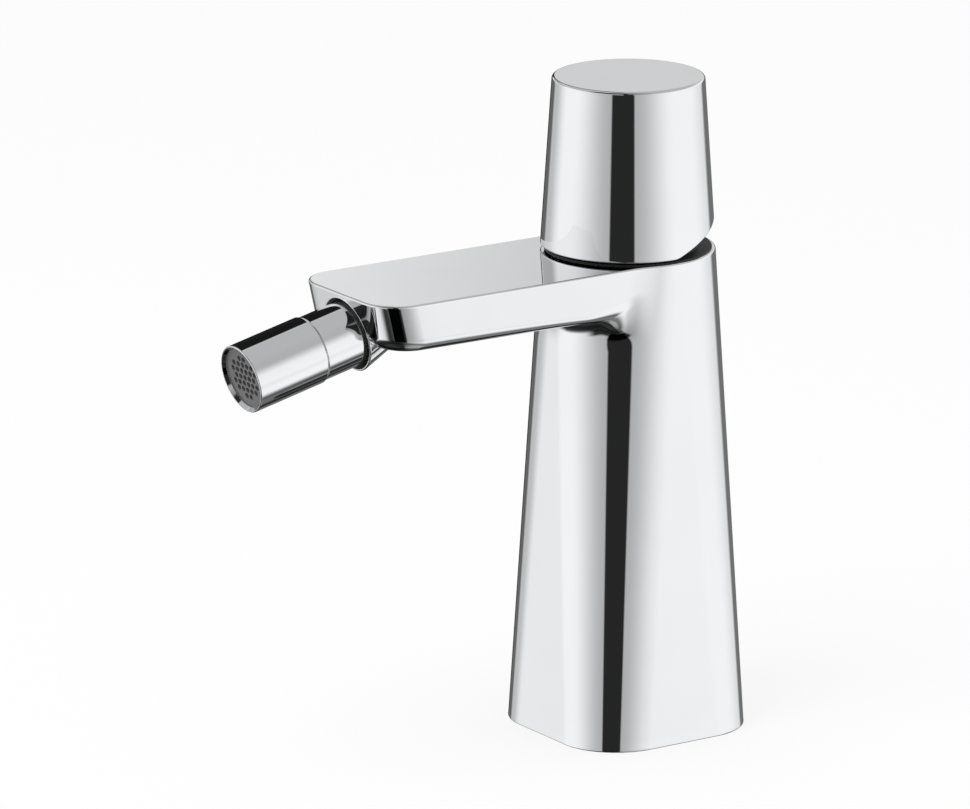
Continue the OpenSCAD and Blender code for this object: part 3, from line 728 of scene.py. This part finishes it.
    def build(self) -> None:
        """Makes the casting, adds the boss, cuts the socket and the threaded holes, and dresses it."""
        right = self.half_rows()
        left = right[:, -2:0:-1] * np.array([-1.0, 1.0, 1.0])
        casting = surface("column_and_spout", np.concatenate([right, left], axis=1), CHROME)
        mouth = self.swivel.mouth_station
        front = mouth + self.boss_proud
        back = mouth - self.boss_length
        combine(casting, self.tool([
            (0.0, back, 0.0), (self.boss_radius - self.boss_taper * self.boss_length, back, 0.0),
            (self.boss_radius, front, self.boss_edge), (0.0, front, 0.0)], CHROME), Join.ADD)
        floor = -self.socket_depth
        narrow = self.socket_radius - self.boss_taper * (self.socket_depth + mouth)
        broken = front - self.socket_break
        clear = broken + self.socket_clear
        # The socket's faces take the dark undercoat as painted shade, standing in for the shadow in the gap
        # round the nozzle
        combine(casting, self.tool([
            (0.0, -self.shank_end, 0.0), (self.shank_radius, -self.shank_end, 0.0),
            (self.shank_radius, floor, 0.0), (narrow, floor, 0.0), (self.socket_radius, broken, 0.0),
            (self.socket_radius + self.socket_clear, clear, 0.0), (0.0, clear, 0.0)], UNDERCOAT_AND_PAINTED_SHADE), Join.CUT)
        for hole in self.holes:
            start, end = self.cavity_top - self.hole_clear, self.cavity_top + hole.depth
            bore = revolve(np.array([(0.0, start), (hole.radius, start), (hole.radius, end), (0.0, end)]),
                           self.hole_segments)
            combine(casting, surface("tool", bore + np.array([hole.x, hole.y, 0.0]), UNDERCOAT_AND_PAINTED_SHADE), Join.CUT)
        present(casting, CHROME, "mixer", "mixer_body")
        dress({"base_gasket": RUBBER})


@dataclass
class Knob:
    """Conical knob with a bevelled flat top, a rear rim cut obliquely, and the parts inside it."""

    base_z: float = field(default_factory=lambda: float(node_box("knob_shell")[0][2]))
    top_z: float = field(default_factory=lambda: float(node_box("knob_shell")[1][2]))
    base_radius: float = field(default_factory=lambda: float(node_box("knob_shell")[1][0]))
    top_radius: float = 20.9
    wall: float = 2.6
    top_wall: float = 4.0
    top_edge: float = 0.9
    rim_edge: float = 0.35
    cut_angle: float = 20.5
    boss_radius: float = 11.05
    boss_bore: float = 8.05
    boss_z: float = 148.0
    plug_radius: float = 3.0
    plug_z: float = 155.0
    plug_recess: float = 0.5
    plug_clearance: float = 0.05
    plug_edge: float = 0.4
    plug_segments: int = 64
    hole_bevel: float = 0.35
    hole_clear: float = 1.2
    hole_segments: int = 96
    # Softness of the bend between the level rim and the oblique cut, as a share of the radius
    rim_blend: float = 0.03
    # Crown's profile, rows of the grid, and the share of the wall at which a holding row lies above the rim
    crown_height: float = 4.0
    crown_steps: int = 8
    arc_rows: int = 6
    wall_rows: int = 24
    rim_hold: float = 0.005
    segments: int = 192

    @property
    def slope(self) -> float:
        """Inward lean of the wall for each unit of height."""
        return (self.base_radius - self.top_radius) / (self.top_z - self.base_z)

    def radius_at(self, z: np.ndarray, inset: float = 0.0) -> np.ndarray:
        """Radius of the cone at a height, or of its inside when drawn in by a wall."""
        return self.base_radius - inset - self.slope * (z - self.base_z)

    def rim(self, turn: np.ndarray, inset: float) -> np.ndarray:
        """Height of the lower rim: level in front, and rising behind on a plane through the diameter.

        On the plane z = y tan(cut), so with y = r sin t and r falling with height, the rim lies
        R sin t tan(cut) / (1 + slope sin t tan(cut)) above the front rim. The bend at the diameter is
        softened by taking (sin t + sqrt(sin² t + blend²)) / 2 in place of sin t.

        Args:
            turn: angles round the axis.
            inset: wall between the outside and the line that is asked for.

        Returns:
            Heights of the rim.
        """
        behind = np.sin(turn)
        behind = 0.5 * (behind + np.sqrt(behind ** 2 + self.rim_blend ** 2))
        rise = behind * math.tan(math.radians(self.cut_angle))
        return self.base_z + (self.base_radius - inset) * rise / (1.0 + self.slope * rise)

    def shell(self) -> bpy.types.Object:
        """Makes the hollow cone with its inner boss.

        Returns:
            The new object.
        """
        turn = np.linspace(0.0, 2.0 * np.pi, self.segments, endpoint=False)
        ceiling = self.top_z - self.top_wall
        inner_rim = self.rim(turn, self.wall)
        outer_rim = self.rim(turn, 0.0)
        share = np.linspace(0.0, 1.0, self.wall_rows)[:, None]
        quarter = np.linspace(0.0, np.pi / 2.0, self.arc_rows)[:, None]
        edge = self.rim_edge
        inside = ceiling + (inner_rim + edge - ceiling) * share
        foot_in = inner_rim + edge * (1.0 - np.sin(quarter))
        foot_out = outer_rim + edge * (1.0 - np.cos(quarter))
        crown_z = self.top_z - self.crown_height
        crown = rounded([
            (self.radius_at(crown_z), crown_z, 0.0), (self.top_radius, self.top_z, self.top_edge),
            (0.0, self.top_z, 0.0)], self.crown_steps)
        held = np.concatenate([[[self.rim_hold]], share[1:-1]])
        climb = outer_rim + edge + (crown_z - outer_rim - edge) * held
        bore = np.array([(0.0, ceiling), (self.boss_bore, ceiling), (self.boss_bore, self.boss_z),
                         (self.boss_radius, self.boss_z), (self.boss_radius, ceiling)])
        radii = np.concatenate([
            np.repeat(bore[:, :1], self.segments, axis=1),
            self.radius_at(inside, self.wall),
            self.radius_at(foot_in, self.wall) + edge * (1.0 - np.cos(quarter)),
            self.radius_at(foot_out) - edge * (1.0 - np.sin(quarter)),
            self.radius_at(climb),
            np.repeat(crown[:, :1], self.segments, axis=1)])
        levels = np.concatenate([
            np.repeat(bore[:, 1:], self.segments, axis=1), inside, foot_in, foot_out, climb,
            np.repeat(crown[:, 1:], self.segments, axis=1)])
        grid = np.stack([radii * np.cos(turn), radii * np.sin(turn), levels], axis=-1)
        return surface("knob_cone", grid, CHROME)

    def build(self) -> None:
        """Makes the cone with its screwdriver hole, the plug, and dresses the inner parts."""
        cone = self.shell()
        outside = float(self.radius_at(np.array(self.plug_z)))
        to_back = np.array([[1.0, 0.0, 0.0], [0.0, 0.0, -1.0], [0.0, 1.0, 0.0]])
        centre = np.array([0.0, 0.0, self.plug_z])
        hole = self.plug_radius + self.plug_clearance
        start, bevel = outside - 2.0 * self.wall, outside - self.hole_bevel
        end = bevel + self.hole_clear
        cutter = revolve(np.array([(0.0, start), (hole, start), (hole, bevel), (hole + self.hole_clear, end),
                                   (0.0, end)]), self.hole_segments)
        combine(cone, surface("tool", cutter @ to_back + centre, CHROME), Join.CUT)
        present(cone, CHROME, "knob", "knob_shell")
        face, foot = outside - self.plug_recess, outside - self.wall
        profile = rounded([(0.0, foot, 0.0), (self.plug_radius, foot, 0.0),
                           (self.plug_radius, face, self.plug_edge), (0.0, face, 0.0)])
        plug = surface("screw_hole_plug", revolve(profile, self.plug_segments) @ to_back + centre)
        present(plug, CHROME, "knob", "grub_screw_plug")
        # The adaptor is black as painted shade inside the gap under the knob
        dress({"knob_adaptor": BLACK_ABS_AND_PAINTED_SHADE, "lever_stem": BRASS, "grub_screw": STEEL})


@dataclass
class Nozzle:
    """Swivelling nozzle: the housing on the ball, the sleeve with the aerator, and what they hold."""

    swivel: Swivel
    housing_radius: float = 9.1
    housing_back: float = -3.8
    housing_front: float = 12.7
    housing_chamfer: float = 1.5
    housing_inset: float = 0.5
    retainer_bore: float = 8.15
    retainer_front: float = -0.5
    seat_radius: float = 7.3
    passage: float = 4.0
    spigot_radius: float = 8.65
    spigot_end: float = 17.5
    sleeve_radius: float = 9.5
    sleeve_back: float = 13.0
    sleeve_front: float = 35.0
    sleeve_bore: float = 8.7
    lip_radius: float = 8.4
    lip_back: float = 33.7
    lip_land: float = 0.42
    lip_chamfer: float = 0.95
    chamfer_edge: float = 1.2
    edge: float = 0.3
    front_edge: float = 0.3
    land_edge: float = 0.1
    seat_rows: int = 16
    # Where the sleeve's profile starts and ends in its bore, from its back
    profile_start: float = 2.0
    profile_end: float = 4.0

    def turned(self, name: str, profile: np.ndarray) -> bpy.types.Object:
        """A closed profile turned about the nozzle's axis.

        Args:
            name: name of the object.
            profile: points as radius and station; the last is joined to the first.

        Returns:
            The new object.
        """
        closed = np.concatenate([profile, profile[:1]])
        return surface(name, self.swivel.placed(revolve(closed)))

    def build(self) -> None:
        """Makes the housing and the sleeve, and dresses what they hold."""
        seat_angle = np.linspace(math.acos(self.retainer_front / self.seat_radius),
                                 math.asin(self.passage / self.seat_radius), self.seat_rows)
        seat = self.seat_radius * np.stack([np.sin(seat_angle), np.cos(seat_angle)], axis=-1)
        outside = rounded([
            (self.retainer_bore, self.housing_back, 0.0),
            (self.housing_radius - self.housing_inset, self.housing_back, 0.0),
            (self.housing_radius, self.housing_back + self.housing_chamfer, self.chamfer_edge),
            (self.housing_radius, self.housing_front, self.edge),
            (self.spigot_radius, self.housing_front, 0.0), (self.spigot_radius, self.spigot_end, 0.0),
            (self.passage, self.spigot_end, 0.0), (self.passage, seat[-1, 1], 0.0)])
        inside = np.concatenate([seat[::-1], [(self.retainer_bore, self.retainer_front)]])
        collar = self.turned("swivel_collar", np.concatenate([outside, inside]))
        present(collar, CHROME, "nozzle", "swivel_housing")
        sleeve = rounded([
            (self.sleeve_bore, self.sleeve_back + self.profile_start, 0.0),
            (self.sleeve_bore, self.sleeve_back, 0.0),
            (self.sleeve_radius, self.sleeve_back, self.edge),
            (self.sleeve_radius, self.sleeve_front, self.front_edge),
            (self.sleeve_radius - self.lip_land, self.sleeve_front, self.land_edge),
            (self.lip_radius, self.sleeve_front - self.lip_chamfer, 0.0),
            (self.lip_radius, self.lip_back, 0.0), (self.sleeve_bore, self.lip_back, 0.0),
            (self.sleeve_bore, self.sleeve_back + self.profile_end, 0.0)])
        present(self.turned("outlet_sleeve", sleeve), CHROME, "nozzle", "nozzle_sleeve")
        dress({"ball_stud": CHROME, "ball_stud_seal": RUBBER, "ball_cup": ACETAL_WHITE,
               "swivel_retainer": BRASS, "aerator_washer": RUBBER, "aerator_mesh": STEEL,
               "aerator_insert": ACETAL_GREY})


@dataclass
class Cartridge:
    """Ceramic-disc cartridge, its nut and the ring that covers the nut."""

    flange_radius: float = field(default_factory=lambda: float(node_box("cover_ring")[1][0]))
    ring_bottom: float = field(default_factory=lambda: float(node_box("cover_ring")[0][2]))
    ring_top: float = field(default_factory=lambda: float(node_box("cover_ring")[1][2]))
    ring_radius: float = 19.0
    flange_height: float = 0.4
    ring_eye: float = 12.5
    ring_hollow: float = 17.52
    ring_wall: float = 1.2
    edge: float = 0.4
    flange_edge: float = 0.15
    flange_fillet: float = 0.2
    eye_edge: float = 0.2
    # Where the ring's profile starts above its foot and ends below its roof
    profile_start: float = 0.8
    profile_end: float = 0.4

    def build(self) -> None:
        """Makes the cover ring and dresses the cartridge."""
        roof = self.ring_top - self.ring_wall
        brim = self.ring_bottom + self.flange_height
        ring = rounded([
            (self.ring_hollow, self.ring_bottom + self.profile_start, 0.0),
            (self.ring_hollow, self.ring_bottom, 0.0), (self.flange_radius, self.ring_bottom, 0.0),
            (self.flange_radius, brim, self.flange_edge), (self.ring_radius, brim, self.flange_fillet),
            (self.ring_radius, self.ring_top, self.edge), (self.ring_eye, self.ring_top, self.eye_edge),
            (self.ring_eye, roof, 0.0), (self.ring_hollow, roof, 0.0),
            (self.ring_hollow, roof - self.profile_end, 0.0)])
        # The ring's flange reaches nearly to the column's edge and is black as painted shade for the gap
        # under the knob
        cover = surface("nut_cover", revolve(np.concatenate([ring, ring[:1]])))
        present(cover, BLACK_ABS_AND_PAINTED_SHADE, "mixer", "cover_ring")
        dress({"cartridge_base": ACETAL_WHITE, "port_seals": RUBBER, "fixed_disc": CERAMIC,
               "cartridge_housing": ACETAL_BLUE, "cartridge_o_ring": RUBBER, "hot_limit_ring": ACETAL_RED,
               "cartridge_nut": BRASS, "rotor_guide": ACETAL_WHITE, "rotor_seal": RUBBER, "pivot_pin": STEEL,
               "disc_carrier": ACETAL_BLUE, "moving_disc": CERAMIC})


@dataclass(frozen=True)
class Card:
    """A soft-edged grey or black card in the studio, seen from the mixer.

    Azimuth is measured from the camera's side, positive to the picture's right; angles are in degrees.
    """

    name: str
    azimuth: float
    half_width: float
    side_blur: float
    elevation: float
    half_height: float
    end_blur: float
    level: float


@dataclass
class Studio:
    """White studio with a few cards, a pale floor, one soft lamp and the camera."""

    # Camera: its direction from the mixer, the point that it aims at, its distance and its lens
    azimuth: float = 56.28
    elevation: float = 15.19
    aim_right: float = -39.01
    aim_height: float = 90.04
    distance: float = 2389.15
    lens: float = 322.9
    clip_end: float = 50000.0
    # Even light on dull surfaces, the floor's size and own brightness, and the lamp
    ambient: float = 0.75
    floor_half: float = 4000.0
    floor_glow: float = 0.8
    lamp_size: float = 1200.0
    lamp_watts: float = 14.0
    lamp_place: tuple[float, float, float] = (200.0, -1000.0, 1700.0)
    lamp_tilt: float = 30.0
    lamp_turn: float = 11.0
    # Cards that the chrome mirrors
    cards: tuple[Card, ...] = (
        Card("black flag behind the camera", -8.5, 16.5, 1.5, -18.0, 26.0, 4.0, 0.045),
        Card("neck of the black flag", -1.0, 7.5, 1.5, 20.0, 15.0, 4.0, 0.045),
        Card("arm of the black flag", -36.0, 34.0, 3.0, 47.0, 14.0, 4.0, 0.06),
        Card("foot of the black flag", -5.5, 19.5, 3.0, -33.0, 11.0, 3.0, 0.05),
        Card("toe of the black flag", -34.0, 14.0, 10.0, -38.0, 7.0, 3.0, 0.05),
        Card("grey wings beside the flag", -8.0, 46.0, 31.0, 0.0, 90.0, 1.0, 0.47),
        Card("grey edge of the right wing", 38.0, 28.0, 9.0, -27.0, 11.0, 7.0, 0.7),
        Card("grey border at the left rear", -148.0, 30.0, 16.0, -42.0, 48.0, 2.0, 0.55),
        Card("dark flag at the left rear", -162.0, 19.0, 4.0, -42.0, 48.0, 2.0, 0.24),
        Card("pale border at the right rear", 150.0, 30.0, 22.0, -42.0, 48.0, 2.0, 0.78),
        Card("dark flag at the right rear", 163.0, 24.0, 5.0, -42.0, 48.0, 2.0, 0.22),
        Card("dark step at the right", 124.0, 32.0, 10.0, -35.0, 14.0, 4.0, 0.12),
        Card("grey wall at the upper left rear", -140.0, 24.0, 10.0, 19.0, 8.0, 4.0, 0.5),
        Card("pale wall behind", 180.0, 16.0, 6.0, 12.0, 16.0, 6.0, 0.85),
        Card("darker end of the pale wall", 165.0, 15.4, 1.0, 12.0, 16.0, 6.0, 0.80),
        Card("black flag beside the pale wall", -171.0, 6.0, 1.0, 26.0, 46.0, 5.0, 0.02),
        Card("grey ceiling", 0.0, 180.0, 1.0, 90.0, 66.0, 14.0, 0.5),
        Card("grey bench below", 0.0, 180.0, 1.0, -54.0, 10.0, 8.0, 0.2),
        Card("pale floor below", 0.0, 180.0, 1.0, -90.0, 26.0, 8.0, 0.35),
        Card("dark end of the bench", -85.0, 92.0, 16.0, -90.0, 49.0, 5.0, 0.1),
    )

    def surround(self, tree: bpy.types.NodeTree) -> bpy.types.NodeSocket:
        """Brightness of the studio by direction: white, multiplied by each card inside its soft rectangle.

        Args:
            tree: the world's node tree.

        Returns:
            Socket with the brightness.
        """
        half_turn = 180.0
        degree = half_turn / math.pi
        spin = math.radians(half_turn / 2.0 - self.azimuth)
        way = node(tree, "ShaderNodeTexCoord")
        facing = node(tree, "ShaderNodeMapping", {"vector_type": "VECTOR"}, {
            "Vector": way.outputs["Generated"], "Rotation": (0.0, 0.0, spin)})
        axes = node(tree, "ShaderNodeSeparateXYZ", inputs={0: facing.outputs[0]})
        around = node(tree, "ShaderNodeMath", {"operation": "ARCTAN2"},
                      {0: axes.outputs["Y"], 1: axes.outputs["X"]})
        around = node(tree, "ShaderNodeMath", {"operation": "MULTIPLY"}, {0: around.outputs[0], 1: degree})
        above = node(tree, "ShaderNodeMath", {"operation": "ARCSINE"}, {0: axes.outputs["Z"]})
        above = node(tree, "ShaderNodeMath", {"operation": "MULTIPLY"}, {0: above.outputs[0], 1: degree})
        bright: float | bpy.types.NodeSocket = 1.0
        for card in self.cards:
            cover: float | bpy.types.NodeSocket = 1.0
            for angle, middle, half, blur in (
                    (around, card.azimuth, card.half_width, card.side_blur),
                    (above, card.elevation, card.half_height, card.end_blur)):
                aside = node(tree, "ShaderNodeMath", {"operation": "SUBTRACT"},
                             {0: angle.outputs[0], 1: middle})
                aside = node(tree, "ShaderNodeMath", {"operation": "WRAP"},
                             {0: aside.outputs[0], 1: half_turn, 2: -half_turn})
                away = node(tree, "ShaderNodeMath", {"operation": "ABSOLUTE"}, {0: aside.outputs[0]})
                mask = node(tree, "ShaderNodeMapRange", {"interpolation_type": "SMOOTHSTEP"}, {
                    "Value": away.outputs[0], "From Min": half - blur, "From Max": half + blur,
                    "To Min": 1.0, "To Max": 0.0})
                cover = node(tree, "ShaderNodeMath", {"operation": "MULTIPLY"},
                             {0: mask.outputs["Result"], 1: cover}).outputs[0]
            passed = node(tree, "ShaderNodeMath", {"operation": "MULTIPLY_ADD"},
                          {0: cover, 1: card.level - 1.0, 2: 1.0})
            bright = node(tree, "ShaderNodeMath", {"operation": "MULTIPLY"},
                          {0: passed.outputs[0], 1: bright}).outputs[0]
        return bright

    def world(self) -> None:
        """White to the camera, the carded studio to mirrors and glass, and an even light to all else."""
        world = bpy.data.worlds.new("studio")
        bpy.context.scene.world = world
        world.use_nodes = True
        tree = world.node_tree
        path = node(tree, "ShaderNodeLightPath")
        mirrored = node(tree, "ShaderNodeMath", {"operation": "MAXIMUM"}, {
            0: path.outputs["Is Glossy Ray"], 1: path.outputs["Is Transmission Ray"]})
        seen = node(tree, "ShaderNodeMix", {"data_type": "FLOAT"}, {
            "Factor": mirrored.outputs[0], FLOAT_A: self.ambient, FLOAT_B: self.surround(tree)})
        level = node(tree, "ShaderNodeMix", {"data_type": "FLOAT"}, {
            "Factor": path.outputs["Is Camera Ray"], FLOAT_A: seen.outputs[FLOAT_OUT], FLOAT_B: 1.0})
        tree.links.new(level.outputs[FLOAT_OUT], tree.nodes["Background"].inputs["Strength"])
        tree.nodes["Background"].inputs["Color"].default_value = linear("#FFFFFF")

    def floor(self) -> None:
        """Pale floor that keeps the mixer's shadow and isn't mirrored in the chrome."""
        half = self.floor_half
        mesh = bpy.data.meshes.new("floor")
        corners = np.array([(-half, -half, 0.0), (half, -half, 0.0), (half, half, 0.0), (-half, half, 0.0)])
        mesh.from_pydata((corners * MM).tolist(), [], [(0, 1, 2, 3)])
        plane = bpy.data.objects.new("floor", mesh)
        bpy.context.scene.collection.objects.link(plane)
        plane.visible_glossy = False
        material = bpy.data.materials.new("matt_white_backdrop_paper")
        material.use_nodes = True
        tree = material.node_tree
        tree.nodes.remove(tree.nodes["Principled BSDF"])
        path = node(tree, "ShaderNodeLightPath")
        share = node(tree, "ShaderNodeMath", {"operation": "MULTIPLY"},
                     {0: path.outputs["Is Camera Ray"], 1: self.floor_glow})
        paper = node(tree, "ShaderNodeBsdfDiffuse", inputs={"Color": linear("#FAFAFA")})
        glow = node(tree, "ShaderNodeEmission", inputs={"Color": linear("#FFFFFF"), "Strength": 1.0})
        mixed = node(tree, "ShaderNodeMixShader", inputs={0: share.outputs[0], 1: paper.outputs[0],
                                                          2: glow.outputs[0]})
        tree.links.new(mixed.outputs[0], tree.nodes["Material Output"].inputs["Surface"])
        mesh.materials.append(material)

    def lamp(self) -> None:
        """One large soft lamp above the camera's left, kept out of reflections."""
        light = bpy.data.lights.new("softbox", "AREA")
        light.shape = "DISK"
        light.size = self.lamp_size * MM
        light.energy = self.lamp_watts
        lamp = bpy.data.objects.new("softbox", light)
        bpy.context.scene.collection.objects.link(lamp)
        lamp.location = (np.array(self.lamp_place) * MM).tolist()
        lamp.rotation_euler = (math.radians(self.lamp_tilt), 0.0, math.radians(self.lamp_turn))
        lamp.visible_glossy = False

    def camera(self) -> None:
        """Camera on the photograph's side, with its long lens."""
        turn, rise = math.radians(self.azimuth), math.radians(self.elevation)
        right = np.array([math.cos(turn), math.sin(turn), 0.0])
        back = np.array([math.sin(turn) * math.cos(rise), -math.cos(turn) * math.cos(rise), math.sin(rise)])
        eye = self.aim_right * right + np.array([0.0, 0.0, self.aim_height]) + self.distance * back
        data = bpy.data.cameras.new("camera")
        data.lens = self.lens
        data.clip_end = self.clip_end * MM
        camera = bpy.data.objects.new("camera", data)
        bpy.context.scene.collection.objects.link(camera)
        frame_axes = np.eye(4)
        frame_axes[:3, 0], frame_axes[:3, 1], frame_axes[:3, 2] = right, np.cross(back, right), back
        frame_axes[:3, 3] = eye * MM
        camera.matrix_world = Matrix(frame_axes.tolist())
        bpy.context.scene.camera = camera

    def build(self) -> None:
        """Sets up the studio."""
        bpy.context.scene.view_settings.view_transform = "Standard"
        self.camera()
        self.world()
        self.floor()
        self.lamp()


def main() -> None:
    """Builds the studio and the mixer."""
    logging.basicConfig(level=logging.INFO, format="%(name)s: %(message)s")
    swivel = Swivel()
    for assembly in (Studio(), ColumnAndSpout(swivel), Knob(), Nozzle(swivel), Cartridge()):
        LOG.info("building %s", type(assembly).__name__)
        assembly.build()


if __name__ == "__main__":
    main()
